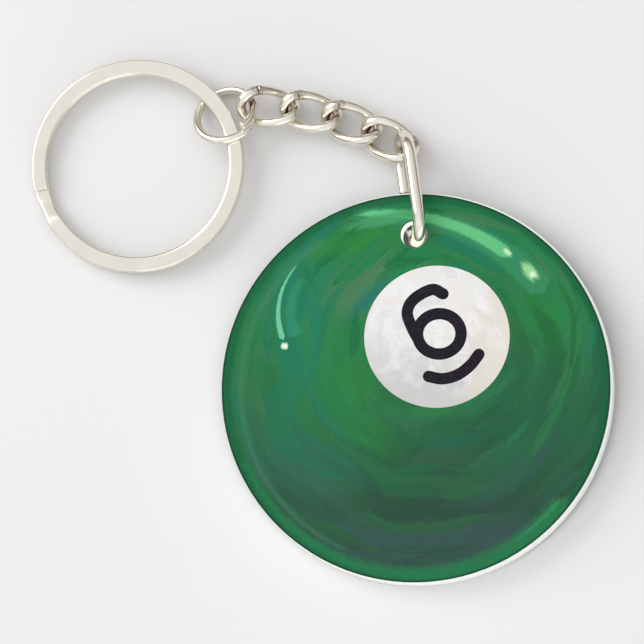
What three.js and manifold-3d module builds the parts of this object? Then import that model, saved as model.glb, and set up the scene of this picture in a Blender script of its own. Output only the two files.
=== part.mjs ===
// A keychain: a round printed acrylic tag, an oval connector ring, four curb links,
// a jump ring and a flat-wire split ring.  Millimetres, +Z up.
//
// The origin is the centre of the tag's back face, +Z runs towards its front face and
// +Y towards its hole.  The tag lies propped on the connector ring, so the table that
// everything rests on slopes down towards +Y.  The chain is placed in a group that
// follows the table: its origin is the tag's lowest edge and its +Z is off the table.

import * as THREE from 'three';
import { mergeVertices } from 'three/addons/utils/BufferGeometryUtils.js';
import Module from 'manifold-3d';

const wasm = await Module();
wasm.setup();

const { degToRad, lerp } = THREE.MathUtils;

// Tag
const TAG_RADIUS = 25.4;
const PRINT_THICKNESS = 0.2;
const CORE_THICKNESS = 2.8;
const HOLE_RADIUS = 1.75;
const HOLE_X = -0.33;
const HOLE_Y = 19.96;
const TAG_SIDES = 96;
const HOLE_SIDES = 24;

// Table
const TABLE_SLOPE = degToRad(2.8);

// Connector ring: two straight strands joined by half circles
const CONNECTOR_WIRE = 1.75;
const CONNECTOR_BEND_RADIUS = 3.3;
const CONNECTOR_HOLE_END = new THREE.Vector2(-0.13, 44.63);
const CONNECTOR_CHAIN_END = new THREE.Vector2(-2.08, 58.27);
const CONNECTOR_LEAN = degToRad(16.2);
const CONNECTOR_HEIGHT = 4.05;
const CONNECTOR_STEPS = 56;

// Curb links, each turned and moved on from the one before it
const LINK_COUNT = 4;
const LINK_WIRE = 1.3;
const LINK_HALF_LENGTH = 3.58;
const LINK_HALF_WIDTH = 2.13;
const LINK_TWIST = 0.92;
const LINK_PITCH = 5.52;
const LINK_TURN = degToRad(-8.9);
const LINK_STEPS = 44;
const FIRST_LINK_CENTRE = new THREE.Vector2(-19.72, 62.75);
const FIRST_LINK_HEADING = degToRad(-2.9);

// How the two end links climb onto the rings: lift, and rise along the link
const LINK_LIFT = [1.07, 0.44, 0.26, 0.56];
const LINK_RISE = [-12.2, -5.6, 0.6, 5.4].map(degToRad);

// Seam of each link, as an angle round it
const LINK_SEAM_ANGLE = [118, 125, 130, 35].map(degToRad);

// Jump ring: its wire ends lie side by side
const JUMP_WIRE = 1.1;
const JUMP_RADIUS = 3.94;
const JUMP_SWEEP = degToRad(372);
const JUMP_SEAM_ANGLE = degToRad(-68);
const JUMP_END_OFFSET = 0.72;
const JUMP_END_SHARPNESS = 5;
const JUMP_CENTRE = new THREE.Vector3(-25.33, 61.76, 2.56);
const JUMP_HEADING = degToRad(30.3);
const JUMP_TILT = degToRad(-29.4);
const JUMP_STEPS = 48;

// Split ring: one flat wire wound twice round
const SPLIT_OUTER_RADIUS = 13.95;
const SPLIT_BAND_WIDTH = 1.95;
const SPLIT_COIL_HEIGHT = 0.8;
const SPLIT_COIL_GAP = 0.1;
const SPLIT_START_ANGLE = degToRad(222);
const SPLIT_RAMP_START = degToRad(555);
const SPLIT_RAMP_END = degToRad(576);
const SPLIT_END_ANGLE = degToRad(913);
const SPLIT_CENTRE = new THREE.Vector3(-36.74, 55.25, 1.03);
const SPLIT_RISE_DIRECTION = degToRad(30.5);
const SPLIT_RISE = degToRad(2.8);
const SPLIT_STEPS = 132;

// Sides of every round wire, and the gap where its cut ends meet
const WIRE_SIDES = 10;
const WIRE_SEAM = 0.2;

function acrylic() {
  return new THREE.MeshStandardMaterial({ color: 0xf4f3f0, roughness: 0.3, metalness: 0 });
}

function greenPrint() {
  return new THREE.MeshStandardMaterial({ color: 0x1f7a45, roughness: 0.35, metalness: 0 });
}

function nickelPlate() {
  return new THREE.MeshStandardMaterial({ color: 0xe2ded4, roughness: 0.25, metalness: 1 });
}

// Two straight strands along X joined by half circles, in the XZ plane.
// It starts and ends in the middle of the lower strand.
class OvalCurve extends THREE.Curve {
  constructor(halfStrand, bendRadius, seam) {
    super();
    this.halfStrand = halfStrand;
    this.bendRadius = bendRadius;
    this.seam = seam;
  }

  getPoint(t, target = new THREE.Vector3()) {
    const strand = 2 * this.halfStrand;
    const bend = Math.PI * this.bendRadius;
    const length = 2 * (strand + bend);
    let along = lerp(this.seam / 2, length - this.seam / 2, t) + this.halfStrand;
    along %= length;
    if (along < strand) {
      return target.set(this.halfStrand - along, 0, -this.bendRadius);
    }
    if (along < strand + bend) {
      const angle = Math.PI / 2 + (along - strand) / this.bendRadius;
      return this.bendPoint(-this.halfStrand, angle, target);
    }
    if (along < 2 * strand + bend) {
      return target.set(along - strand - bend - this.halfStrand, 0, this.bendRadius);
    }
    const angle = -Math.PI / 2 + (along - 2 * strand - bend) / this.bendRadius;
    return this.bendPoint(this.halfStrand, angle, target);
  }

  bendPoint(centre, angle, target) {
    const x = centre + this.bendRadius * Math.cos(angle);
    return target.set(x, 0, -this.bendRadius * Math.sin(angle));
  }
}

// An oval in the XY plane, twisted so that it lies over one neighbour and under the other
class CurbLinkCurve extends THREE.Curve {
  constructor(seamAngle) {
    super();
    this.seamAngle = seamAngle;
  }

  getPoint(t, target = new THREE.Vector3()) {
    const halfSeam = WIRE_SEAM / (2 * LINK_HALF_WIDTH);
    const angle = this.seamAngle + lerp(halfSeam, 2 * Math.PI - halfSeam, t);
    return target.set(
      LINK_HALF_LENGTH * Math.cos(angle),
      LINK_HALF_WIDTH * Math.sin(angle),
      -LINK_TWIST * Math.sin(2 * angle),
    );
  }
}

// A circle in the XY plane whose two ends part sideways, so that they overlap
class JumpRingCurve extends THREE.Curve {
  getPoint(t, target = new THREE.Vector3()) {
    const angle = JUMP_SEAM_ANGLE + Math.PI + (t - 0.5) * JUMP_SWEEP;
    const fromMiddle = 2 * t - 1;
    return target.set(
      JUMP_RADIUS * Math.cos(angle),
      JUMP_RADIUS * Math.sin(angle),
      -JUMP_END_OFFSET * Math.pow(fromMiddle, JUMP_END_SHARPNESS),
    );
  }
}

// Nearly two turns: the lower coil, a short ramp, and the upper coil on top of it
class SplitRingCurve extends THREE.Curve {
  getPoint(t, target = new THREE.Vector3()) {
    const angle = lerp(SPLIT_START_ANGLE, SPLIT_END_ANGLE, t);
    const climb = THREE.MathUtils.smoothstep(angle, SPLIT_RAMP_START, SPLIT_RAMP_END);
    const radius = SPLIT_OUTER_RADIUS - SPLIT_BAND_WIDTH / 2;
    return target.set(
      radius * Math.cos(angle),
      radius * Math.sin(angle),
      SPLIT_COIL_HEIGHT / 2 + climb * (SPLIT_COIL_HEIGHT + SPLIT_COIL_GAP),
    );
  }
}

function sweep(section, path, steps) {
  return new THREE.ExtrudeGeometry(section, {
    steps,
    curveSegments: WIRE_SIDES / 2,
    bevelEnabled: false,
    extrudePath: path,
  });
}

function roundSection(diameter) {
  return new THREE.Shape().absarc(0, 0, diameter / 2, 0, 2 * Math.PI);
}

// The sweep carries a section's X along the coil's axis and its Y along the radius
function bandSection(height, width) {
  return new THREE.Shape([
    new THREE.Vector2(-height / 2, -width / 2),
    new THREE.Vector2(height / 2, -width / 2),
    new THREE.Vector2(height / 2, width / 2),
    new THREE.Vector2(-height / 2, width / 2),
  ]);
}

function toSolid(geometry) {
  const bare = geometry.clone();
  bare.deleteAttribute('normal');
  bare.deleteAttribute('uv');
  const merged = mergeVertices(bare);
  return new wasm.Manifold(new wasm.Mesh({
    numProp: 3,
    vertProperties: merged.attributes.position.array,
    triVerts: new Uint32Array(merged.index.array),
  }));
}

function toGeometry(solid) {
  const mesh = solid.getMesh();
  const geometry = new THREE.BufferGeometry();
  geometry.setAttribute('position', new THREE.BufferAttribute(mesh.vertProperties, 3));
  geometry.setIndex(new THREE.BufferAttribute(mesh.triVerts, 1));
  geometry.computeVertexNormals();
  return geometry;
}

// A round plate with its underside at z = 0
function discGeometry(radius, thickness, sides) {
  const geometry = new THREE.CylinderGeometry(radius, radius, thickness, sides);
  return geometry.rotateX(Math.PI / 2).translate(0, 0, thickness / 2);
}

function drilledDisc(thickness) {
  const drill = discGeometry(HOLE_RADIUS, 3 * thickness, HOLE_SIDES);
  drill.translate(HOLE_X, HOLE_Y, -thickness);
  const disc = toSolid(discGeometry(TAG_RADIUS, thickness, TAG_SIDES));
  return toGeometry(disc.subtract(toSolid(drill)));
}

function namedMesh(name, geometry, material) {
  const mesh = new THREE.Mesh(geometry, material);
  mesh.name = name;
  return mesh;
}

function makeTag() {
  const tag = new THREE.Group();
  const back = namedMesh('back_print', drilledDisc(PRINT_THICKNESS), greenPrint());
  const core = namedMesh('disc_core', drilledDisc(CORE_THICKNESS), acrylic());
  core.position.z = PRINT_THICKNESS;
  const front = namedMesh('front_print', drilledDisc(PRINT_THICKNESS), greenPrint());
  front.position.z = PRINT_THICKNESS + CORE_THICKNESS;
  tag.add(back, core, front);
  return tag;
}

function makeConnectorRing() {
  const along = CONNECTOR_CHAIN_END.clone().sub(CONNECTOR_HOLE_END);
  const middle = CONNECTOR_CHAIN_END.clone().add(CONNECTOR_HOLE_END).divideScalar(2);
  const halfStrand = along.length() / 2 - CONNECTOR_BEND_RADIUS;
  const path = new OvalCurve(halfStrand, CONNECTOR_BEND_RADIUS, WIRE_SEAM);
  const geometry = sweep(roundSection(CONNECTOR_WIRE), path, CONNECTOR_STEPS);
  const ring = namedMesh('connector_ring', geometry, nickelPlate());
  ring.rotation.set(CONNECTOR_LEAN, 0, along.angle(), 'ZYX');
  ring.position.set(middle.x, middle.y, CONNECTOR_HEIGHT);
  return ring;
}

function makeCurbLinks() {
  const links = new THREE.Group();
  const centre = FIRST_LINK_CENTRE.clone();
  let heading = FIRST_LINK_HEADING;
  for (let index = 0; index < LINK_COUNT; index += 1) {
    const path = new CurbLinkCurve(LINK_SEAM_ANGLE[index]);
    const geometry = sweep(roundSection(LINK_WIRE), path, LINK_STEPS);
    const link = namedMesh(`curb_link_${index + 1}`, geometry, nickelPlate());
    link.rotation.set(0, -LINK_RISE[index], heading, 'ZYX');
    link.position.set(centre.x, centre.y, LINK_TWIST + LINK_WIRE / 2 + LINK_LIFT[index]);
    links.add(link);
    const between = heading + LINK_TURN / 2;
    centre.x += LINK_PITCH * Math.cos(between);
    centre.y += LINK_PITCH * Math.sin(between);
    heading += LINK_TURN;
  }
  return links;
}

function makeJumpRing() {
  const geometry = sweep(roundSection(JUMP_WIRE), new JumpRingCurve(), JUMP_STEPS);
  const ring = namedMesh('jump_ring', geometry, nickelPlate());
  ring.rotation.set(JUMP_TILT, 0, JUMP_HEADING, 'ZYX');
  ring.position.copy(JUMP_CENTRE);
  return ring;
}

function makeSplitRing() {
  const section = bandSection(SPLIT_COIL_HEIGHT, SPLIT_BAND_WIDTH);
  const geometry = sweep(section, new SplitRingCurve(), SPLIT_STEPS);
  geometry.rotateZ(-SPLIT_RISE_DIRECTION);
  const ring = namedMesh('split_ring', geometry, nickelPlate());
  ring.rotation.set(0, -SPLIT_RISE, SPLIT_RISE_DIRECTION, 'ZYX');
  ring.position.copy(SPLIT_CENTRE);
  return ring;
}

function makeKeychain() {
  const table = new THREE.Group();
  table.position.y = -TAG_RADIUS;
  table.rotation.x = -TABLE_SLOPE;
  table.add(makeConnectorRing(), makeCurbLinks(), makeJumpRing(), makeSplitRing());

  const keychain = new THREE.Group();
  keychain.add(makeTag(), table);
  return keychain;
}

export default makeKeychain();
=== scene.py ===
from math import atan2, cos, pi, radians, sin

import bpy
from mathutils import Euler, Matrix, Vector
from mathutils.geometry import delaunay_2d_cdt


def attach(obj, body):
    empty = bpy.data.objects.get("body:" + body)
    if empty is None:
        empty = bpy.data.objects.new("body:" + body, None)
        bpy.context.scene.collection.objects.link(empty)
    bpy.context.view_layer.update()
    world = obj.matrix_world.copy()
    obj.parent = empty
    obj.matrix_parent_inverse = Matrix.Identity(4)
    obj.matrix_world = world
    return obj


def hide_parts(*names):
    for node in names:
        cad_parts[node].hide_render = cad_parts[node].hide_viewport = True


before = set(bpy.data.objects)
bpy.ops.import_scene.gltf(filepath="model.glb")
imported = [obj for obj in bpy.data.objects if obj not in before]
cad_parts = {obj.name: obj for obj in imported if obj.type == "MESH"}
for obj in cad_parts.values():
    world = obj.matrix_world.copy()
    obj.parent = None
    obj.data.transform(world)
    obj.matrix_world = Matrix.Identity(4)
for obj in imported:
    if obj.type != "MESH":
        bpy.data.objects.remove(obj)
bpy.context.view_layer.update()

MM = 0.001

# Lengths are in millimetres, in the CAD's frame unless a comment says otherwise.
# The sizes of the tag, the table, the chain and the rings repeat part.mjs, except that the
# connector's and the jump ring's wires and the split ring's radius are a little smaller, so
# that their rounder sections stay inside the CAD's box.

# Tag
TAG_RADIUS = 25.4
TAG_THICKNESS = 3.2
PRINT_THICKNESS = 0.2
HOLE = Vector((-0.33, 19.96))
HOLE_RADIUS = 1.75
# The printed picture stops a little short of the acrylic's edge, most at the right
PRINT_RADIUS = 25.25
PRINT_SHIFT = (-0.14, 0.0)
EDGE_EASE = 0.06
RIM_STEPS = 256
HOLE_STEPS = 64
# Points of a flat outline that are closer than this are taken as one
PICTURE_MERGE_LIMIT = 1e-5
CORE_MERGE_LIMIT = 1e-6

# Table that the keychain rests on: it slopes down from the tag's lowest edge.
# The chain's places are given in the table's own frame.
TABLE_SLOPE = radians(2.8)
TABLE = Matrix.Translation((0, -TAG_RADIUS, 0)) @ Matrix.Rotation(-TABLE_SLOPE, 4, "X")

# Round wire: the sides of its section, and the chamfer at its cut ends
WIRE_SIDES = 28
CUT_CHAMFER = 0.09
# Edges sharper than this are not smoothed, on every piece
SHARP_ANGLE = radians(35)

# Connector ring
CONNECTOR_WIRE = 1.68
CONNECTOR_SIDES = 32
CONNECTOR_STEPS = 260
CONNECTOR_BEND_RADIUS = 3.3
CONNECTOR_HOLE_END = Vector((-0.13, 44.63))
CONNECTOR_CHAIN_END = Vector((-2.08, 58.27))
CONNECTOR_LEAN = radians(16.2)
CONNECTOR_HEIGHT = 4.05

# Curb links
LINK_WIRE = 1.3
LINK_HALF_LENGTH = 3.58
LINK_HALF_WIDTH = 2.13
LINK_TWIST = 0.92
LINK_PITCH = 5.52
LINK_TURN = radians(-8.9)
LINK_STEPS = 220
SEAM = 0.05
FIRST_LINK_CENTRE = Vector((-19.72, 62.75))
FIRST_LINK_HEADING = radians(-2.9)
LINK_LIFT = (1.07, 0.44, 0.26, 0.56)
LINK_RISE = (-12.2, -5.6, 0.6, 5.4)
LINK_SEAM_ANGLE = (118, 125, 130, 35)

# Jump ring
JUMP_WIRE = 1.085
JUMP_RADIUS = 3.94
JUMP_SWEEP = radians(372)
JUMP_SEAM_ANGLE = radians(-68)
JUMP_END_OFFSET = 0.72
JUMP_CENTRE = Vector((-25.33, 61.76, 2.56))
JUMP_HEADING = radians(30.3)
JUMP_TILT = radians(-29.4)
JUMP_STEPS = 240

# Split ring
SPLIT_OUTER_RADIUS = 13.94
SPLIT_BAND_WIDTH = 1.95
SPLIT_COIL_HEIGHT = 0.8
SPLIT_COIL_GAP = 0.1
SPLIT_CORNER = 0.25
SPLIT_INNER_CORNER = 0.42
SPLIT_CORNER_STEPS = 9
# The wire is pinched and banked most at the middle of its step from coil to coil
SPLIT_PINCH = 0.25
SPLIT_BANK = radians(-11)
SPLIT_END_CHAMFER = 0.08
SPLIT_END_SCALE = 0.85
SPLIT_STEPS = 900
SPLIT_START = radians(222)
SPLIT_RAMP_START = radians(555)
SPLIT_RAMP_END = radians(576)
SPLIT_END = radians(913)
SPLIT_CENTRE = Vector((-36.74, 55.25, 1.03))
SPLIT_RISE_DIRECTION = radians(30.5)
SPLIT_RISE = radians(2.8)

# Painted shade where links cross, and dull seam marks: each fades in from the first distance to
# the second
CROSSING_SHADE_FADE = (1.35, 0.5)
DULL_FADE = (1.1, 0.7)

# Acrylic: how close the lines on its edge are, and the painted glow round its hole
CUTTER_LINES = 90.0
GLOW_REACH = 0.6
GLOW_STRENGTH = 0.55

# Picture on the tag
SPOT_CENTRE = Vector((2.6, 6.65))
SPOT_RADII = (9.45, 9.25)
SPOT_STEPS = 128
STROKE_WIDTH = 1.5
BOWL_CENTRE = Vector((2.91, 7.02))
BOWL_STEPS = 72
COUNTER_RADII = (2.08, 1.88)
COUNTER_STEPS = 48
# Steps between two points of a stroke's curve, and round its half-round ends
STROKE_PIECES = 10
STROKE_CAP_STEPS = 8
STEM_POINTS = ((3.4, 12.22), (1.95, 12.8), (-0.35, 11.6), (-1.25, 9.9), (-0.6, 7.8), (0.6, 5.6))
UNDERLINE_POINTS = ((1.5, 1.5), (3.3, 1.17), (5.25, 1.65), (6.9, 2.85), (8.05, 4.3))
SWIRL_CENTRE = Vector((2.0, 4.5))
BALL_CENTRE = (0, 0)
GLOSS_CENTRE = (-4.6, -4.4)
SIDE_GLOSS_CENTRE = (-8.8, 9.9)
RIM_FADE = (23.7, 24.6)
OUTLINE_FADE = (PRINT_RADIUS - 0.4, PRINT_RADIUS - 0.1)
# A brush stroke's two ends taper over these angles, in radians, or a third of its length
START_TAPER = 0.12
END_TAPER = 0.07

# View
IMAGE_WIDTH = 83.36
VIEW_CENTRE = Vector((-12.34, 8.74, 3.2))
VIEW_LEAN = radians(8.8)
VIEW_LEAN_DIRECTION = radians(-48)
VIEW_DISTANCE = 2000
SENSOR = 36

# Stage
FLOOR_HALF = 3000
FLOOR_DROP = 0.02


def srgb(red, green, blue):
    """A colour given as 0-255 display values, as the linear values that nodes take."""
    def linear(value):
        value /= 255
        return value / 12.92 if value <= 0.04045 else ((value + 0.055) / 1.055) ** 2.4
    return (linear(red), linear(green), linear(blue), 1)


def ink(red, green, blue):
    """A printed colour, darkened by what the gloss and the bright room add to it."""
    added, gain, darkest = 0.008, 1.07, 0.003
    return tuple(
        max((value - added) / gain, darkest) for value in srgb(red, green, blue)[:3]) + (1,)


# ---------------------------------------------------------------- node building

class Nodes:
    """Short calls for the few node types that the materials use."""

    def __init__(self, tree):
        self.tree = tree

    def add(self, kind, **settings):
        node = self.tree.nodes.new(kind)
        for name, value in settings.items():
            setattr(node, name, value)
        return node

    def feed(self, socket, value):
        if isinstance(value, bpy.types.NodeSocket):
            self.tree.links.new(value, socket)
        else:
            socket.default_value = value

    def math(self, operation, *values):
        node = self.add("ShaderNodeMath", operation=operation)
        for socket, value in zip(node.inputs, values):
            self.feed(socket, value)
        return node.outputs[0]

    def scaled(self, value, factor):
        return self.math("MULTIPLY", value, factor)

    def total(self, *values):
        result = values[0]
        for value in values[1:]:
            result = self.math("ADD", result, value)
        return result

    def length(self, x, y):
        return self.math("SQRT", self.total(self.scaled(x, x), self.scaled(y, y)))

    def offsets(self, parts, point):
        """How far each part is from the same part of a point."""
        return [self.math("SUBTRACT", part, value) for part, value in zip(parts, point)]

    def distance(self, x, y, point):
        return self.length(*self.offsets((x, y), point))

    def blend(self, amount, first, second):
        node = self.add("ShaderNodeMix", data_type="FLOAT")
        for socket, value in zip(node.inputs, (amount, None, first, second)):
            if value is not None:
                self.feed(socket, value)
        return node.outputs[0]

    def fade(self, value, start, end):
        """0 at start, 1 at end, smooth between and flat outside."""
        node = self.add("ShaderNodeMapRange", interpolation_type="SMOOTHSTEP")
        self.feed(node.inputs["Value"], value)
        node.inputs["From Min"].default_value = start
        node.inputs["From Max"].default_value = end
        return node.outputs["Result"]

    def spread(self, value, low, high):
        """A value from 0 to 1, taken to the range from low to high."""
        node = self.add("ShaderNodeMapRange")
        self.feed(node.inputs["Value"], value)
        node.inputs["To Min"].default_value = low
        node.inputs["To Max"].default_value = high
        return node.outputs["Result"]

    def mix(self, amount, first, second, blend="MIX"):
        node = self.add("ShaderNodeMix", data_type="RGBA", blend_type=blend, clamp_factor=True)
        self.feed(node.inputs[0], amount)
        self.feed(node.inputs[6], first)
        self.feed(node.inputs[7], second)
        return node.outputs[2]

    def lay_over(self, colour, tint, mask, amount):
        """A tint laid over a colour where the mask is 1, as strongly as the amount."""
        return self.mix(self.scaled(mask, amount), colour, tint)

    def vector(self, x, y, z=0.0):
        node = self.add("ShaderNodeCombineXYZ")
        for socket, value in zip(node.inputs, (x, y, z)):
            self.feed(socket, value)
        return node.outputs[0]

    def noise(self, place, scale, detail=3.0, roughness=0.55):
        node = self.add("ShaderNodeTexNoise")
        self.feed(node.inputs["Vector"], place)
        node.inputs["Scale"].default_value = scale
        node.inputs["Detail"].default_value = detail
        node.inputs["Roughness"].default_value = roughness
        return node.outputs["Fac"]

    def strokes(self, place, softness):
        """Three random values, each nearly the same all over a cell."""
        node = self.add("ShaderNodeTexVoronoi", feature="SMOOTH_F1")
        self.feed(node.inputs["Vector"], place)
        node.inputs["Scale"].default_value = 1.0
        node.inputs["Smoothness"].default_value = softness
        split = self.add("ShaderNodeSeparateColor")
        self.feed(split.inputs[0], node.outputs["Color"])
        return split.outputs[0], split.outputs[1], split.outputs[2]

    def ramp(self, value, stops):
        """A colour that changes with a value, through (position, colour) stops."""
        node = self.add("ShaderNodeValToRGB")
        elements = node.color_ramp.elements
        while len(elements) < len(stops):
            elements.new(1)
        for element, (position, colour) in zip(elements, stops):
            element.position = position
            element.color = colour
        self.feed(node.inputs["Fac"], value)
        return node.outputs["Color"]

    def bump(self, height, distance, strength=1.0):
        """A normal from a height between 0 and 1 that stands for the distance."""
        node = self.add("ShaderNodeBump")
        node.inputs["Distance"].default_value = distance * MM
        node.inputs["Strength"].default_value = strength
        self.feed(node.inputs["Height"], height)
        return node.outputs["Normal"]

    def place_mm(self):
        """The point on the piece in millimetres, and its X, Y and Z."""
        coordinates = self.add("ShaderNodeTexCoord").outputs["Object"]
        scale = self.add("ShaderNodeVectorMath", operation="SCALE")
        self.feed(scale.inputs[0], coordinates)
        scale.inputs["Scale"].default_value = 1 / MM
        parts = self.add("ShaderNodeSeparateXYZ")
        self.feed(parts.inputs[0], scale.outputs[0])
        return scale.outputs[0], parts.outputs


def new_material(name):
    """A material, its node helper and its Principled shader."""
    material = bpy.data.materials.new(name)
    material.use_nodes = True
    nodes = Nodes(material.node_tree)
    return material, nodes, material.node_tree.nodes["Principled BSDF"]


# ---------------------------------------------------------------- materials

def near_points(nodes, parts, points, ragged, fade):
    """0 beyond the fade's first distance from every point, and 1 within its second of one."""
    result = 0.0
    for point in points:
        dx, dy, dz = nodes.offsets(parts, point)
        away = nodes.length(nodes.length(dx, dy), dz)
        result = nodes.math("MAXIMUM", result, nodes.fade(nodes.total(away, ragged), *fade))
    return result


def nickel_material(seams, bearings):
    """Warm bright nickel plate: clouding, scratches, pits, dull seams and painted brown shade
    where links cross.
    """
    material, nodes, shader = new_material("nickel_plate")
    place, parts = nodes.place_mm()
    cloud = nodes.noise(place, 0.5, detail=3)
    grain = nodes.noise(place, 12.0, detail=4, roughness=0.7)
    stretch = nodes.add("ShaderNodeMapping")
    stretch.inputs["Rotation"].default_value = (0.3, 0.2, 0.9)
    stretch.inputs["Scale"].default_value = (0.8, 26.0, 26.0)
    nodes.feed(stretch.inputs["Vector"], place)
    scratches = nodes.noise(stretch.outputs[0], 1.0, detail=2)
    pits = nodes.fade(nodes.noise(place, 3.1, detail=2), 0.2, 0.27)
    colour = nodes.ramp(cloud, (
        (0.3, srgb(232, 227, 215)), (0.5, srgb(235, 230, 219)), (0.72, srgb(238, 234, 224))))
    colour = nodes.mix(pits, srgb(150, 132, 110), colour)
    # Painted brown shade where the links cross and bear on each other, and dull marks where each
    # wire was closed
    blotch = nodes.noise(place, 2.6, detail=4, roughness=0.7)
    crossing_shade = near_points(nodes, parts, bearings, nodes.spread(blotch, -0.8, 0.8), CROSSING_SHADE_FADE)
    colour = nodes.lay_over(colour, srgb(150, 112, 82), crossing_shade, 0.85)
    dull = near_points(nodes, parts, seams, nodes.spread(blotch, -1.4, 1.4), DULL_FADE)
    colour = nodes.lay_over(colour, srgb(122, 108, 90), dull, 0.6)
    nodes.feed(shader.inputs["Base Color"], colour)
    shader.inputs["Metallic"].default_value = 1
    rough = nodes.total(
        nodes.spread(cloud, 0.09, 0.12), nodes.spread(grain, 0.0, 0.04),
        nodes.spread(scratches, 0.0, 0.05), nodes.spread(pits, 0.25, 0.0),
        nodes.spread(dull, 0.0, 0.22))
    nodes.feed(shader.inputs["Roughness"], rough)
    relief = nodes.total(
        nodes.spread(grain, 0, 0.4), nodes.spread(scratches, 0, 0.5), nodes.spread(pits, 0, 1.5))
    nodes.feed(shader.inputs["Normal"], nodes.bump(relief, 0.01))
    return material


def acrylic_material():
    """White acrylic: faint upright cutter lines on its edge, and a painted glow on the wall of its
    hole.
    """
    material, nodes, shader = new_material("white_acrylic")
    place, parts = nodes.place_mm()
    angle = nodes.math("ARCTAN2", parts[1], parts[0])
    around = nodes.vector(nodes.scaled(angle, CUTTER_LINES), nodes.scaled(parts[2], 0.4))
    lines = nodes.noise(around, 1.0, detail=3)
    cloud = nodes.noise(place, 0.35, detail=3)
    colour = nodes.ramp(cloud, ((0.3, srgb(243, 250, 248)), (0.7, srgb(248, 253, 251))))
    nodes.feed(shader.inputs["Base Color"], colour)
    nodes.feed(shader.inputs["Roughness"], nodes.spread(lines, 0.2, 0.42))
    shader.inputs["Subsurface Weight"].default_value = 0.2
    shader.inputs["Subsurface Scale"].default_value = MM
    shader.inputs["Subsurface Radius"].default_value = (0.8, 0.8, 0.8)
    nodes.feed(shader.inputs["Normal"], nodes.bump(lines, 0.012))
    # Painted glow: emission on the wall of the hole, standing in for light the acrylic carries
    # from its rim
    reach = nodes.distance(parts[0], parts[1], HOLE)
    hole_glow = nodes.fade(reach, HOLE_RADIUS + GLOW_REACH, HOLE_RADIUS)
    shader.inputs["Emission Color"].default_value = srgb(250, 240, 236)
    nodes.feed(shader.inputs["Emission Strength"], nodes.scaled(hole_glow, GLOW_STRENGTH))
    return material


def swirl_place(nodes, x, y, along, across, ragged):
    """Coordinates that stretch a texture into strokes round the swirl's centre."""
    dx, dy = nodes.offsets((x, y), SWIRL_CENTRE)
    reach = nodes.length(dx, dy)
    safe = nodes.math("MAXIMUM", reach, 0.01)
    edge = nodes.noise(nodes.vector(x, y), 1.1, detail=5, roughness=0.7)
    drift = nodes.noise(nodes.vector(x, y), 0.07, detail=1)
    radial = nodes.total(
        nodes.scaled(reach, across), nodes.spread(edge, -ragged, ragged),
        nodes.spread(drift, -1.6, 1.6))
    return nodes.vector(
        nodes.scaled(nodes.math("DIVIDE", dx, safe), along),
        nodes.scaled(nodes.math("DIVIDE", dy, safe), along), radial)


def arc_mask(nodes, x, y, centre, radius, start, end, thin, thick, ragged, soft):
    """1 inside a brush stroke along an arc, from the start to the end angle in degrees.

    Its half width goes from thin to thick, its edge is ragged and soft, and its ends taper.
    """
    dx, dy = nodes.offsets((x, y), centre)
    reach = nodes.length(dx, dy)
    # The angle is counted clockwise from -X, so that no stroke crosses its jump
    angle = nodes.math("ARCTAN2", dy, nodes.scaled(dx, -1.0))
    first, last = radians(180 - start), radians(180 - end)
    along = nodes.add("ShaderNodeMapRange")
    nodes.feed(along.inputs["Value"], angle)
    along.inputs["From Min"].default_value = first
    along.inputs["From Max"].default_value = last
    way = 1 if last > first else -1
    third = abs(last - first) / 3
    tapers = nodes.scaled(
        nodes.fade(angle, first, first + way * min(START_TAPER, third)),
        nodes.fade(angle, last, last - way * min(END_TAPER, third)))
    half = nodes.scaled(nodes.spread(along.outputs["Result"], thin, thick), tapers)
    edge = nodes.noise(nodes.vector(x, y), 1.8, detail=4, roughness=0.7)
    offset = nodes.total(
        nodes.math("ABSOLUTE", nodes.math("SUBTRACT", reach, radius)),
        nodes.spread(edge, -ragged, ragged))
    return nodes.fade(nodes.math("SUBTRACT", half, offset), 0.0, soft)


def patch_mask(nodes, x, y, centre, radii, turn, stroke, ragged, soft):
    """1 inside an oval turned by so many degrees, whose edge breaks up along the strokes."""
    dx, dy = nodes.offsets((x, y), centre)
    lean = radians(turn)
    along = nodes.total(nodes.scaled(dx, cos(lean)), nodes.scaled(dy, sin(lean)))
    across = nodes.total(nodes.scaled(dx, -sin(lean)), nodes.scaled(dy, cos(lean)))
    reach = nodes.length(
        nodes.math("DIVIDE", along, radii[0]), nodes.math("DIVIDE", across, radii[1]))
    edge = nodes.spread(stroke, -ragged, ragged)
    return nodes.fade(nodes.total(reach, edge), 1.0 + soft, 1.0 - soft)


def picture_place(nodes, side):
    """X and Y across the picture: side is 1 on the front, and -1 on the back, turned over."""
    _, parts = nodes.place_mm()
    return nodes.scaled(parts[0], float(side)), parts[1]


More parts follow.
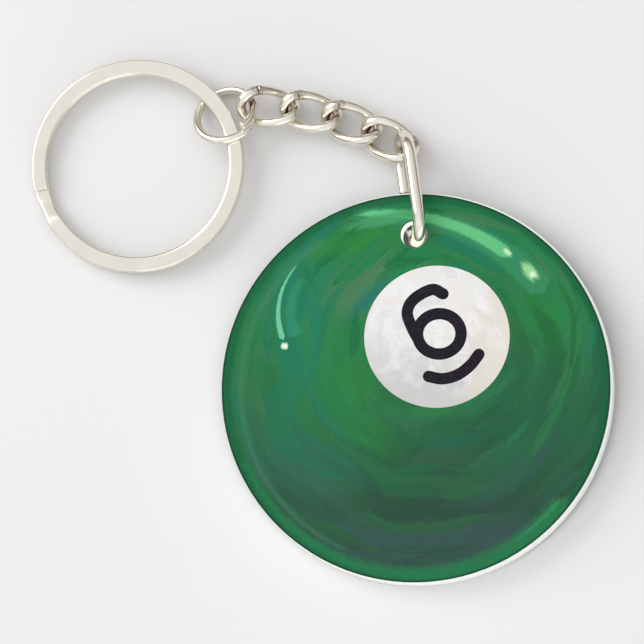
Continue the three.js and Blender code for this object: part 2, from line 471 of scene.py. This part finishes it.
def green_paint_material(name, side):
    """A printed painting of a green ball: long soft strokes that run round its spot."""
    material, nodes, shader = new_material(name)
    x, y = picture_place(nodes, side)
    reach = nodes.length(x, y)

    # Broad strokes, smaller ones laid over them, the marks of the bristles, and specks
    broad_tone, broad_hue, _ = nodes.strokes(swirl_place(nodes, x, y, 1.15, 0.36, 0.35), 0.5)
    fine_tone, fine_hue, cover = nodes.strokes(swirl_place(nodes, x, y, 2.1, 0.8, 0.45), 0.4)
    bristle = nodes.noise(swirl_place(nodes, x, y, 3.2, 4.0, 0.9), 1.0, detail=4, roughness=0.6)
    speckle = nodes.noise(nodes.vector(x, y), 5.5, detail=3, roughness=0.7)
    covered = nodes.fade(cover, 0.48, 0.6)
    tone = nodes.blend(covered, broad_tone, fine_tone)
    hue = nodes.blend(covered, broad_hue, fine_hue)

    # The ball is bright above and falls into shade below and at the right
    up, right, middle = 0.0215, -0.003, 0.5
    shade = nodes.total(
        nodes.scaled(y, up), nodes.scaled(x, right), nodes.spread(tone, -0.08, 0.08), middle)
    colour = nodes.ramp(shade, (
        (0.05, ink(56, 84, 76)), (0.16, ink(52, 86, 68)), (0.27, ink(48, 97, 71)),
        (0.38, ink(49, 106, 73)), (0.55, ink(48, 116, 74)), (0.72, ink(46, 122, 76)),
        (0.9, ink(44, 125, 78))))
    # Strokes of other hues, weaker in the shade: lowest and highest hue, colour, amount
    hue_edge, hue_core, in_shade = 0.03, 0.01, 0.15
    hues = (
        (0.0, 0.2, ink(36, 118, 104), 0.5), (0.8, 1.0, ink(54, 132, 58), 0.38),
        (0.36, 0.42, ink(74, 118, 84), 0.55), (0.56, 0.62, ink(30, 102, 62), 0.6))
    for low, high, tint, amount in hues:
        near = nodes.scaled(
            nodes.fade(hue, low - hue_edge, low + hue_core),
            nodes.fade(hue, high + hue_edge, high - hue_core))
        weight = nodes.scaled(near, nodes.spread(shade, amount * in_shade, amount))
        colour = nodes.mix(weight, colour, tint)

    # Patches of other greens brushed in here and there: centre, radii, turn, colour, amount
    patches = (
        ((-13.5, 6.0), (4.5, 12.0), 8, ink(42, 126, 102), 0.6),
        ((-7.2, 13.0), (5.5, 2.8), 38, ink(82, 128, 92), 0.75),
        ((-5.6, 12.5), (4.2, 0.8), 48, ink(36, 116, 112), 0.8),
        ((-9.5, 2.5), (3.2, 7.5), 20, ink(50, 132, 62), 0.6),
        ((17.5, 9.0), (3.2, 3.6), 40, ink(46, 134, 60), 0.65),
        ((-7.5, 19.5), (7.0, 1.3), 20, ink(56, 136, 62), 0.6),
        ((16.0, -2.0), (4.5, 9.0), -15, ink(42, 94, 66), 0.55),
        ((-14.0, -12.0), (9.0, 3.8), -50, ink(58, 102, 88), 0.6),
        ((-1.0, -15.5), (13.0, 1.6), -3, ink(50, 80, 64), 0.55),
        ((2.0, -19.3), (12.0, 1.5), 2, ink(62, 88, 88), 0.6),
        ((12.5, -11.0), (6.0, 1.6), 40, ink(62, 86, 92), 0.5))
    for centre, radii, turn, tint, amount in patches:
        mask = patch_mask(nodes, x, y, centre, radii, turn, tone, 0.9, 0.6)
        colour = nodes.lay_over(colour, tint, mask, amount)

    # Every stroke, bristle and speck makes the paint a little lighter or darker
    lit = nodes.total(
        nodes.spread(broad_tone, 0.95, 1.06), nodes.spread(fine_tone, -0.05, 0.05),
        nodes.spread(bristle, -0.1, 0.1), nodes.spread(speckle, -0.12, 0.12))
    grey = nodes.add("ShaderNodeCombineColor")
    for socket in grey.inputs:
        nodes.feed(socket, lit)
    colour = nodes.mix(1.0, colour, grey.outputs[0], "MULTIPLY")

    # Grey-green band, darker rim, and the light that the underside picks up from the table
    band = arc_mask(nodes, x, y, BALL_CENTRE, 22.9, 250, 120, 0.6, 0.9, 0.5, 0.9)
    colour = nodes.lay_over(colour, ink(78, 134, 104), band, 0.45)
    rim_wobble = nodes.spread(nodes.noise(nodes.vector(x, y), 0.35, detail=3), -0.5, 0.5)
    rim = nodes.fade(nodes.total(reach, rim_wobble), *RIM_FADE)
    colour = nodes.lay_over(colour, ink(31, 100, 64), rim, 0.8)
    bounce = arc_mask(nodes, x, y, BALL_CENTRE, 24.2, 326, 200, 1.9, 0.9, 0.9, 1.2)
    colour = nodes.lay_over(colour, ink(44, 126, 80), bounce, 0.8)
    glint = arc_mask(nodes, x, y, BALL_CENTRE, 23.6, 325, 300, 0.6, 0.3, 0.6, 0.5)
    colour = nodes.lay_over(colour, ink(60, 146, 92), glint, 0.7)
    outline = nodes.fade(nodes.distance(x, y, PRINT_SHIFT), *OUTLINE_FADE)
    colour = nodes.lay_over(colour, ink(20, 62, 42), outline, 0.8)

    # Highlights, a wide one at the upper right and a thin one at the left, each over its halo:
    # what arc_mask takes, colour, amount
    lights = (
        ((GLOSS_CENTRE, 27.0, 101, 37.0, 1.2, 2.1, 0.7, 0.8), ink(62, 144, 100), 0.75),
        ((GLOSS_CENTRE, 27.2, 99, 50.5, 0.55, 1.1, 0.3, 0.45), ink(106, 200, 136), 0.9),
        ((SIDE_GLOSS_CENTRE, 7.6, 140, 205, 0.7, 1.3, 0.5, 0.8), ink(60, 150, 118), 0.55),
        ((SIDE_GLOSS_CENTRE, 9.25, 134, 203, 0.16, 0.5, 0.14, 0.22), ink(118, 212, 168), 0.85))
    for arc, tint, amount in lights:
        colour = nodes.lay_over(colour, tint, arc_mask(nodes, x, y, *arc), amount)
    # Dabs at their ends: centre, radii, turn, colour, amount
    dabs = (
        ((-4.2, 22.0), (4.6, 0.75), 12, ink(76, 160, 108), 0.8),
        ((14.7, 15.0), (1.4, 0.7), -50, ink(160, 222, 158), 0.9),
        ((15.05, 14.6), (0.5, 0.36), -50, ink(232, 246, 220), 0.85),
        ((11.75, 17.55), (0.6, 0.32), -38, ink(206, 238, 198), 0.85),
        ((-17.2, 5.65), (0.42, 0.42), 0, ink(230, 248, 228), 1.0))
    for centre, radii, turn, tint, amount in dabs:
        mask = patch_mask(nodes, x, y, centre, radii, turn, bristle, 0.8, 0.4)
        colour = nodes.lay_over(colour, tint, mask, amount)
    finish_print(nodes, shader, colour, bristle)
    return material


def finish_print(nodes, shader, colour, strokes):
    """The ink's colour, with the sheen and the slight relief that every ink on the tag shares."""
    place, _ = nodes.place_mm()
    grain = nodes.noise(place, 5.0, detail=5, roughness=0.7)
    nodes.feed(shader.inputs["Base Color"], colour)
    nodes.feed(shader.inputs["Roughness"], nodes.total(
        nodes.spread(grain, 0.3, 0.46), nodes.spread(strokes, 0.0, 0.1)))
    shader.inputs["Specular IOR Level"].default_value = 0.12
    height = nodes.total(nodes.spread(grain, 0, 0.6), nodes.spread(strokes, 0, 0.4))
    nodes.feed(shader.inputs["Normal"], nodes.bump(height, 0.01))


def white_paint_material(side):
    """The spot's off-white paint: cream, white and grey patches laid over each other."""
    material, nodes, shader = new_material("white_spot_" + ("front" if side > 0 else "back"))
    x, y = picture_place(nodes, side)
    tone, hue, cover = nodes.strokes(swirl_place(nodes, x, y, 2.6, 0.55, 1.0), 0.4)
    small = nodes.noise(swirl_place(nodes, x, y, 3.0, 1.6, 0.9), 1.0, detail=5, roughness=0.65)
    bristle = nodes.noise(swirl_place(nodes, x, y, 5.0, 5.0, 0.9), 1.0, detail=4, roughness=0.6)
    patch = nodes.total(nodes.spread(hue, 0.0, 0.55), nodes.spread(small, 0.0, 0.45))
    colour = nodes.ramp(patch, (
        (0.12, ink(226, 223, 216)), (0.3, ink(240, 239, 239)), (0.45, ink(232, 230, 228)),
        (0.55, ink(241, 240, 240)), (0.68, ink(224, 224, 226)), (0.8, ink(236, 233, 226))))
    # Greyer downwards and to the left, and creamier to the right
    up, right, middle = -0.0625, -0.017, 0.52
    shaded = nodes.total(
        nodes.scaled(y, up), nodes.scaled(x, right), nodes.spread(tone, -0.15, 0.15),
        nodes.spread(small, -0.2, 0.2), middle)
    colour = nodes.lay_over(colour, ink(200, 200, 199), nodes.fade(shaded, 0.0, 0.6), 0.85)
    cream = nodes.total(
        nodes.scaled(x, 0.06), nodes.spread(cover, -0.3, 0.3), nodes.spread(small, -0.3, 0.3))
    colour = nodes.lay_over(colour, ink(224, 218, 204), nodes.fade(cream, 0.35, 0.55), 0.6)
    finish_print(nodes, shader, colour, bristle)
    return material


def black_paint_material(side):
    """The numeral's near-black paint, with faint violet-grey brush marks."""
    material, nodes, shader = new_material("black_numeral_" + ("front" if side > 0 else "back"))
    x, y = picture_place(nodes, side)
    bristle = nodes.noise(swirl_place(nodes, x, y, 7.0, 3.0, 0.8), 1.0, detail=4, roughness=0.6)
    colour = nodes.ramp(bristle, (
        (0.3, ink(32, 28, 34)), (0.55, ink(42, 38, 46)), (0.75, ink(60, 54, 62))))
    finish_print(nodes, shader, colour, bristle)
    return material


def floor_material():
    """Pale matt backdrop paper."""
    material, nodes, shader = new_material("backdrop_paper")
    place, _ = nodes.place_mm()
    fibre = nodes.noise(place, 1.5, detail=5, roughness=0.7)
    cloud = nodes.noise(place, 0.01, detail=2)
    colour = nodes.ramp(cloud, ((0.3, srgb(228, 228, 228)), (0.7, srgb(231, 231, 231))))
    nodes.feed(shader.inputs["Base Color"], colour)
    nodes.feed(shader.inputs["Roughness"], nodes.spread(fibre, 0.8, 0.95))
    shader.inputs["Specular IOR Level"].default_value = 0.1
    nodes.feed(shader.inputs["Normal"], nodes.bump(fibre, 0.02, 0.3))
    return material


# What each face of a print shows, in the order of its paints
GREEN, WHITE, BLACK, BARE = range(4)


def tag_paints(acrylic, side):
    """The materials of one print; side is 1 on the front and -1 on the back."""
    name = "green_picture_" + ("front" if side > 0 else "back")
    return (
        green_paint_material(name, side), white_paint_material(side), black_paint_material(side),
        acrylic)


ACRYLIC = acrylic_material()
FRONT_PAINTS = tag_paints(ACRYLIC, 1)
BACK_PAINTS = tag_paints(ACRYLIC, -1)


# ---------------------------------------------------------------- mesh building

def placed(rotation_xyz, position):
    """A chain piece's place in the CAD's frame, from its place on the table."""
    turn = Euler(rotation_xyz, "XYZ").to_matrix().to_4x4()
    return TABLE @ Matrix.Translation(Vector(position)) @ turn


def new_piece(name, points, faces, body, materials, node, material_ids=None):
    """A mesh from points in millimetres that rides on a body and stands for one CAD node."""
    mesh = bpy.data.meshes.new(name)
    mesh.from_pydata([tuple(point * MM) for point in points], [], faces)
    for material in materials:
        mesh.materials.append(material)
    if material_ids:
        mesh.polygons.foreach_set("material_index", material_ids)
    mesh.polygons.foreach_set("use_smooth", [True] * len(faces))
    mesh.set_sharp_from_angle(angle=SHARP_ANGLE)
    mesh.update()
    piece = bpy.data.objects.new(name, mesh)
    bpy.context.scene.collection.objects.link(piece)
    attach(piece, body)
    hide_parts(node)


def skin(rings):
    """Faces that join rings of points end to end, with both ends closed."""
    sides = len(rings[0])
    points = [point for ring in rings for point in ring]
    faces = [tuple(range(sides - 1, -1, -1))]
    for ring in range(len(rings) - 1):
        base = ring * sides
        for side in range(sides):
            after = (side + 1) % sides
            faces.append((base + side, base + after, base + sides + after, base + sides + side))
    last = (len(rings) - 1) * sides
    faces.append(tuple(range(last, last + sides)))
    return points, faces


def carried_frames(path):
    """Two axes across each point of a path, carried along it without twisting."""
    count = len(path)
    tangents = []
    for index in range(count):
        before = path[max(index - 1, 0)]
        after = path[min(index + 1, count - 1)]
        tangents.append((after - before).normalized())
    across = tangents[0].orthogonal().normalized()
    frames = []
    for tangent in tangents:
        across = (across - tangent * across.dot(tangent)).normalized()
        frames.append((across, tangent.cross(across), tangent))
    return frames


def wire_rings(path, diameter, sides=WIRE_SIDES):
    """Rings of points along a round wire whose two cut ends have a small chamfer."""
    radius = diameter / 2
    frames = carried_frames(path)
    rings = []
    last = len(path) - 1
    for index, (point, (across, up, tangent)) in enumerate(zip(path, frames)):
        sizes = [(0.0, radius)]
        if index == 0:
            sizes = [(0.0, radius - CUT_CHAMFER), (CUT_CHAMFER, radius)]
        if index == last:
            sizes = [(-CUT_CHAMFER, radius), (0.0, radius - CUT_CHAMFER)]
        for shift, size in sizes:
            centre = point + tangent * shift
            rings.append([
                centre + (across * cos(turn) + up * sin(turn)) * size
                for turn in (2 * pi * side / sides for side in range(sides))])
    return rings


def moved(rings, place):
    return [[place @ point for point in ring] for ring in rings]


# ---------------------------------------------------------------- chain and rings

def oval_path(half_strand, bend_radius, seam, steps):
    """Two straight strands along X joined by half circles in the XZ plane.

    It starts and ends in the middle of the lower strand.
    """
    strand = 2 * half_strand
    bend = pi * bend_radius
    length = 2 * (strand + bend)

    def bend_point(angle, middle):
        return Vector((bend_radius * cos(angle) + middle, 0, -bend_radius * sin(angle)))

    path = []
    for step in range(steps + 1):
        along = (seam / 2 + (length - seam) * step / steps + half_strand) % length
        if along < strand:
            path.append(Vector((half_strand - along, 0, -bend_radius)))
        elif along < strand + bend:
            path.append(bend_point(pi / 2 + (along - strand) / bend_radius, -half_strand))
        elif along < 2 * strand + bend:
            path.append(Vector((along - strand - bend - half_strand, 0, bend_radius)))
        else:
            past = along - 2 * strand - bend
            path.append(bend_point(-pi / 2 + past / bend_radius, half_strand))
    return path


def curb_path(seam_angle, steps):
    """An oval in the XY plane, twisted to lie over one neighbour and under the other."""
    half_seam = SEAM / (2 * LINK_HALF_WIDTH)
    path = []
    for step in range(steps + 1):
        angle = seam_angle + half_seam + (2 * pi - 2 * half_seam) * step / steps
        path.append(Vector((
            LINK_HALF_LENGTH * cos(angle), LINK_HALF_WIDTH * sin(angle),
            -LINK_TWIST * sin(2 * angle))))
    return path


def jump_path(steps):
    """A circle in the XY plane whose two ends part sideways and overlap."""
    path = []
    for step in range(steps + 1):
        from_middle = 2 * step / steps - 1
        angle = JUMP_SEAM_ANGLE + pi + from_middle * JUMP_SWEEP / 2
        path.append(Vector((
            JUMP_RADIUS * cos(angle), JUMP_RADIUS * sin(angle),
            -JUMP_END_OFFSET * from_middle ** 5)))
    return path


def make_connector():
    along = CONNECTOR_CHAIN_END - CONNECTOR_HOLE_END
    middle = (CONNECTOR_CHAIN_END + CONNECTOR_HOLE_END) / 2
    half_strand = along.length / 2 - CONNECTOR_BEND_RADIUS
    path = oval_path(half_strand, CONNECTOR_BEND_RADIUS, SEAM, CONNECTOR_STEPS)
    place = placed(
        (CONNECTOR_LEAN, 0, atan2(along.y, along.x)), (middle.x, middle.y, CONNECTOR_HEIGHT))
    points, faces = skin(moved(wire_rings(path, CONNECTOR_WIRE, CONNECTOR_SIDES), place))
    new_piece(
        "connector_ring_plated", points, faces, "connector", [NICKEL], "connector_ring")


def link_places():
    """Each link's place, from the jump ring's end of the chain to the tag's."""
    places = []
    centre = FIRST_LINK_CENTRE.copy()
    heading = FIRST_LINK_HEADING
    for lift, rise in zip(LINK_LIFT, LINK_RISE):
        height = LINK_TWIST + LINK_WIRE / 2 + lift
        places.append(placed((0, -radians(rise), heading), (centre.x, centre.y, height)))
        between = heading + LINK_TURN / 2
        centre += Vector((cos(between), sin(between))) * LINK_PITCH
        heading += LINK_TURN
    return places


def make_links():
    for index, (place, seam_angle) in enumerate(zip(link_places(), LINK_SEAM_ANGLE)):
        path = curb_path(radians(seam_angle), LINK_STEPS)
        points, faces = skin(moved(wire_rings(path, LINK_WIRE), place))
        number = index + 1
        new_piece(
            f"curb_link_{number}_plated", points, faces, f"link_{number}", [NICKEL],
            f"curb_link_{number}")


def link_marks():
    """Where each link was closed, and where the links bear on each other and on the rings."""
    places = link_places()
    seams = [
        place @ curb_path(radians(seam_angle), 1)[0]
        for place, seam_angle in zip(places, LINK_SEAM_ANGLE)]
    half_pitch = Vector((LINK_PITCH / 2, 0, 0))
    bearings = [places[0] @ -half_pitch] + [place @ half_pitch for place in places]
    return seams, bearings


NICKEL = nickel_material(*link_marks())


def make_jump_ring():
    place = placed((JUMP_TILT, 0, JUMP_HEADING), JUMP_CENTRE)
    points, faces = skin(moved(wire_rings(jump_path(JUMP_STEPS), JUMP_WIRE), place))
    new_piece("jump_ring_plated", points, faces, "jump", [NICKEL], "jump_ring")


def band_section():
    """The flat wire's section: (outwards, upwards) pairs, rounded more widely inside."""
    section = []
    for quarter, (side, top) in enumerate(((1, 1), (-1, 1), (-1, -1), (1, -1))):
        wide = SPLIT_CORNER if side > 0 else SPLIT_INNER_CORNER
        for step in range(SPLIT_CORNER_STEPS + 1):
            angle = (quarter + step / SPLIT_CORNER_STEPS) * pi / 2
            section.append((
                side * (SPLIT_BAND_WIDTH / 2 - wide) + wide * cos(angle),
                top * (SPLIT_COIL_HEIGHT / 2 - SPLIT_CORNER) + SPLIT_CORNER * sin(angle)))
    return section[::-1]


def make_split_ring():
    """Two coils of flat wire, one over the other, joined by a short step."""
    radius = SPLIT_OUTER_RADIUS - SPLIT_BAND_WIDTH / 2
    coil_rise = SPLIT_COIL_HEIGHT + SPLIT_COIL_GAP
    ramp = SPLIT_RAMP_END - SPLIT_RAMP_START
    section = band_section()
    rings = []
    for step in range(SPLIT_STEPS + 1):
        angle = SPLIT_START + (SPLIT_END - SPLIT_START) * step / SPLIT_STEPS
        part = min(max((angle - SPLIT_RAMP_START) / ramp, 0), 1)
        climb = part * part * (3 - 2 * part)
        slope = 6 * part * (1 - part) / ramp
        bent = sin(pi * part) ** 2
        pinch = SPLIT_PINCH * bent
        narrowed = 1 - pinch / SPLIT_BAND_WIDTH
        outwards = Vector((cos(angle), sin(angle), 0))
        tangent = Vector((-radius * sin(angle), radius * cos(angle), coil_rise * slope))
        tangent.normalize()
        across = Matrix.Rotation(SPLIT_BANK * bent, 3, tangent) @ outwards
        upwards = across.cross(tangent)
        centre = outwards * radius + Vector((0, 0, SPLIT_COIL_HEIGHT / 2 + climb * coil_rise))
        sizes = [(0.0, 1.0)]
        if step == 0:
            sizes = [(0.0, SPLIT_END_SCALE), (SPLIT_END_CHAMFER, 1.0)]
        if step == SPLIT_STEPS:
            sizes = [(-SPLIT_END_CHAMFER, 1.0), (0.0, SPLIT_END_SCALE)]
        for shift, size in sizes:
            rings.append([
                centre + tangent * shift + across * (out * size * narrowed - pinch / 2)
                + upwards * up * size
                for out, up in section])
    place = placed((0, -SPLIT_RISE, SPLIT_RISE_DIRECTION), SPLIT_CENTRE)
    place = place @ Matrix.Rotation(-SPLIT_RISE_DIRECTION, 4, "Z")
    points, faces = skin(moved(rings, place))
    new_piece("split_ring_plated", points, faces, "keyring", [NICKEL], "split_ring")


# ---------------------------------------------------------------- tag

def circle(centre, radius_x, radius_y, count):
    return [
        Vector((centre[0] + radius_x * cos(2 * pi * step / count),
                centre[1] + radius_y * sin(2 * pi * step / count))) for step in range(count)]


def smooth_line(points, pieces):
    """A Catmull-Rom curve through a row of points."""
    row = [Vector(point) for point in points]
    row = [row[0] * 2 - row[1]] + row + [row[-1] * 2 - row[-2]]
    line = []
    for index in range(1, len(row) - 2):
        a, b, c, d = row[index - 1:index + 3]
        for piece in range(pieces):
            t = piece / pieces
            line.append(0.5 * (
                2 * b + (c - a) * t + (2 * a - 5 * b + 4 * c - d) * t * t
                + (3 * b - a - 3 * c + d) * t * t * t))
    line.append(row[-2])
    return line


def stroke_outline(points, width):
    """The outline of a brush stroke with round ends along a curve."""
    line = smooth_line(points, STROKE_PIECES)
    left, right = [], []
    for index, point in enumerate(line):
        ahead = line[min(index + 1, len(line) - 1)] - line[max(index - 1, 0)]
        ahead.normalize()
        side = Vector((-ahead.y, ahead.x)) * width / 2
        left.append(point + side)
        right.append(point - side)

    def round_end(point, start):
        angles = [start - pi * step / STROKE_CAP_STEPS for step in range(1, STROKE_CAP_STEPS)]
        return [point + Vector((cos(angle), sin(angle))) * width / 2 for angle in angles]

    first = line[0] - line[1]
    last = line[-1] - line[-2]
    end_cap = round_end(line[-1], atan2(last.y, last.x) + pi / 2)
    start_cap = round_end(line[0], atan2(first.y, first.x) + pi / 2)
    return left + end_cap + right[::-1] + start_cap


def inside(point, outline):
    """Whether a point is within a closed outline."""
    result = False
    for index, corner in enumerate(outline):
        before = outline[index - 1]
        if (corner.y > point.y) != (before.y > point.y):
            cross = (before.x - corner.x) * (point.y - corner.y) / (before.y - corner.y) + corner.x
            if point.x < cross:
                result = not result
    return result


def picture_faces(side):
    """The printed face cut into paint regions: flat points, triangles, and the paint of each."""
    outer_centre = (side * PRINT_SHIFT[0], PRINT_SHIFT[1])
    outer = circle(outer_centre, PRINT_RADIUS, PRINT_RADIUS, RIM_STEPS)
    hole = circle(HOLE, HOLE_RADIUS, HOLE_RADIUS, HOLE_STEPS)
    bowl_radii = (COUNTER_RADII[0] + STROKE_WIDTH, COUNTER_RADII[1] + STROKE_WIDTH)
    spot = circle(SPOT_CENTRE, *SPOT_RADII, SPOT_STEPS)
    bowl = circle(BOWL_CENTRE, *bowl_radii, BOWL_STEPS)
    counter = circle(BOWL_CENTRE, *COUNTER_RADII, COUNTER_STEPS)
    stem = stroke_outline(STEM_POINTS, STROKE_WIDTH)
    underline = stroke_outline(UNDERLINE_POINTS, STROKE_WIDTH)
    art = [
        [Vector((side * corner.x, corner.y)) for corner in outline]
        for outline in (spot, bowl, counter, stem, underline)]
    corners, edges = [], []
    for outline in [outer, hole] + art:
        base = len(corners)
        count = len(outline)
        corners += outline
        edges += [(base + step, base + (step + 1) % count) for step in range(count)]
    flat, _, triangles, _, _, _ = delaunay_2d_cdt(corners, edges, [], 0, PICTURE_MERGE_LIMIT)
    spot, bowl, counter, stem, underline = art
    kept, paints = [], []
    for triangle in triangles:
        middle = sum((flat[corner] for corner in triangle), Vector((0, 0))) / len(triangle)
        if inside(middle, hole):
            continue
        paint = GREEN
        if inside(middle, spot):
            in_six = inside(middle, bowl) or inside(middle, stem)
            drawn = (in_six and not inside(middle, counter)) or inside(middle, underline)
            paint = BLACK if drawn else WHITE
        kept.append(tuple(triangle))
        paints.append(paint)
    return flat, kept, paints


def make_print(name, node, side, low, materials):
    """A thin printed layer, closed all round, with its paint regions on both faces."""
    flat, triangles, paints = picture_faces(side)
    high = low + PRINT_THICKNESS
    count = len(flat)
    points = [Vector((p.x, p.y, high)) for p in flat] + [Vector((p.x, p.y, low)) for p in flat]
    faces, material_ids = [], []
    used = {}
    for triangle, paint in zip(triangles, paints):
        a, b, c = (flat[corner] for corner in triangle)
        if (b - a).cross(c - a) < 0:
            triangle = triangle[::-1]
        faces.append(triangle)
        faces.append(tuple(corner + count for corner in triangle[::-1]))
        material_ids += [paint, paint]
        used.update(dict.fromkeys(zip(triangle, triangle[1:] + triangle[:1])))
    # Walls stand on the edges that only one triangle uses
    for a, b in used:
        if (b, a) not in used:
            faces.append((b, a, a + count, b + count))
            material_ids.append(BARE)
    new_piece(name, points, faces, "tag", materials, node, material_ids)


def make_core():
    """The acrylic disc between the prints, with its edges eased where the cutter left them."""
    low = PRINT_THICKNESS
    high = TAG_THICKNESS - PRINT_THICKNESS
    profile = (
        (low, EDGE_EASE), (low + EDGE_EASE, 0.0), ((low + high) / 2, 0.0),
        (high - EDGE_EASE, 0.0), (high, EDGE_EASE))
    levels = len(profile)
    outer, hole = [], []
    for z, inset in profile:
        reach = TAG_RADIUS - inset
        outer.append([Vector((p.x, p.y, z)) for p in circle((0, 0), reach, reach, RIM_STEPS)])
        reach = HOLE_RADIUS + inset
        hole.append([Vector((p.x, p.y, z)) for p in circle(HOLE, reach, reach, HOLE_STEPS)])
    points = [p for ring in outer + hole for p in ring]
    first_hole = RIM_STEPS * levels
    faces = []
    for level in range(levels - 1):
        for base, count, inwards in ((0, RIM_STEPS, False), (first_hole, HOLE_STEPS, True)):
            start = base + level * count
            for step in range(count):
                after = (step + 1) % count
                face = (start + step, start + after, start + count + after, start + count + step)
                faces.append(face[::-1] if inwards else face)
    edges = [(step, (step + 1) % RIM_STEPS) for step in range(RIM_STEPS)]
    edges += [(RIM_STEPS + a, RIM_STEPS + (a + 1) % HOLE_STEPS) for a in range(HOLE_STEPS)]
    for level, top in ((0, False), (levels - 1, True)):
        ids = [level * RIM_STEPS + step for step in range(RIM_STEPS)]
        ids += [first_hole + level * HOLE_STEPS + step for step in range(HOLE_STEPS)]
        flat = [points[index].xy for index in ids]
        _, _, triangles, sources, _, _ = delaunay_2d_cdt(flat, edges, [], 0, CORE_MERGE_LIMIT)
        hole_outline = flat[RIM_STEPS:]
        for triangle in triangles:
            corners = [sources[corner][0] for corner in triangle]
            a, b, c = (flat[corner] for corner in corners)
            if inside((a + b + c) / 3, hole_outline):
                continue
            if ((b - a).cross(c - a) > 0) != top:
                corners.reverse()
            faces.append(tuple(ids[corner] for corner in corners))
    new_piece("tag_core_acrylic", points, faces, "tag", [ACRYLIC], "disc_core")


make_core()
make_print("tag_picture_front", "front_print", 1, TAG_THICKNESS - PRINT_THICKNESS, FRONT_PAINTS)
make_print("tag_picture_back", "back_print", -1, 0, BACK_PAINTS)
make_connector()
make_links()
make_jump_ring()
make_split_ring()


# ---------------------------------------------------------------- stage

def make_floor():
    """A large pale sheet just under the table's plane."""
    mesh = bpy.data.meshes.new("floor")
    corners = [
        TABLE @ Vector((x * FLOOR_HALF, y * FLOOR_HALF, -FLOOR_DROP)) * MM
        for x, y in ((-1, -1), (1, -1), (1, 1), (-1, 1))]
    mesh.from_pydata([tuple(corner) for corner in corners], [], [(0, 1, 2, 3)])
    mesh.materials.append(floor_material())
    floor = bpy.data.objects.new("floor", mesh)
    bpy.context.scene.collection.objects.link(floor)


def make_light(name, position, size, power, colour):
    """A soft box that faces the tag's centre; metres and watts."""
    data = bpy.data.lights.new(name, "AREA")
    data.shape = "RECTANGLE"
    data.size, data.size_y = size
    data.energy = power
    data.color = colour
    light = bpy.data.objects.new(name, data)
    light.location = position
    light.rotation_euler = (-Vector(position)).to_track_quat("-Z", "Y").to_euler()
    bpy.context.scene.collection.objects.link(light)


def make_world():
    """A soft bright room, warm and dim low down, dimmer at the right and brighter in front."""
    world = bpy.data.worlds.new("soft_room")
    world.use_nodes = True
    nodes = Nodes(world.node_tree)
    direction = nodes.add("ShaderNodeTexCoord").outputs["Generated"]
    parts = nodes.add("ShaderNodeSeparateXYZ")
    nodes.feed(parts.inputs[0], direction)
    sky = nodes.ramp(parts.outputs[2], (
        (0.0, (0.48, 0.43, 0.37, 1)), (0.08, (0.1, 0.065, 0.04, 1)), (0.24, (0.3, 0.25, 0.2, 1)),
        (0.45, (0.66, 0.64, 0.61, 1)), (0.7, (0.92, 0.92, 0.92, 1)), (0.9, (0.94, 0.94, 0.95, 1))))
    right = nodes.fade(parts.outputs[0], 0.08, 0.6)
    sky = nodes.lay_over(sky, (0.3, 0.27, 0.23, 1), right, 0.3)
    near = nodes.fade(parts.outputs[1], -0.12, -0.55)
    sky = nodes.lay_over(sky, (1.15, 1.15, 1.14, 1), near, 0.55)
    background = world.node_tree.nodes["Background"]
    nodes.feed(background.inputs["Color"], sky)
    background.inputs["Strength"].default_value = 1.0
    bpy.context.scene.world = world


def make_camera():
    """A long lens that looks almost straight down, leaning as the photograph does."""
    lean_x = sin(VIEW_LEAN) * cos(VIEW_LEAN_DIRECTION)
    lean_y = sin(VIEW_LEAN) * sin(VIEW_LEAN_DIRECTION)
    towards = Vector((lean_x, lean_y, cos(VIEW_LEAN)))
    right = Vector((0, 1, 0)).cross(towards).normalized()
    up = towards.cross(right)
    turn = Matrix((right, up, towards)).transposed().to_4x4()
    data = bpy.data.cameras.new("camera")
    data.sensor_width = SENSOR
    data.lens = SENSOR * VIEW_DISTANCE / IMAGE_WIDTH
    camera = bpy.data.objects.new("camera", data)
    camera.matrix_world = Matrix.Translation((VIEW_CENTRE + towards * VIEW_DISTANCE) * MM) @ turn
    bpy.context.scene.collection.objects.link(camera)
    bpy.context.scene.camera = camera


make_floor()
make_world()
make_light("key", (-0.81, 0.44, 0.6), (0.8, 0.8), 6.3, (0.985, 0.992, 1.0))
make_light("low_fill", (0.35, -0.95, 0.22), (1.2, 0.3), 2.5, (1.0, 1.0, 1.0))
make_camera()
bpy.context.scene.view_settings.view_transform = "Standard"
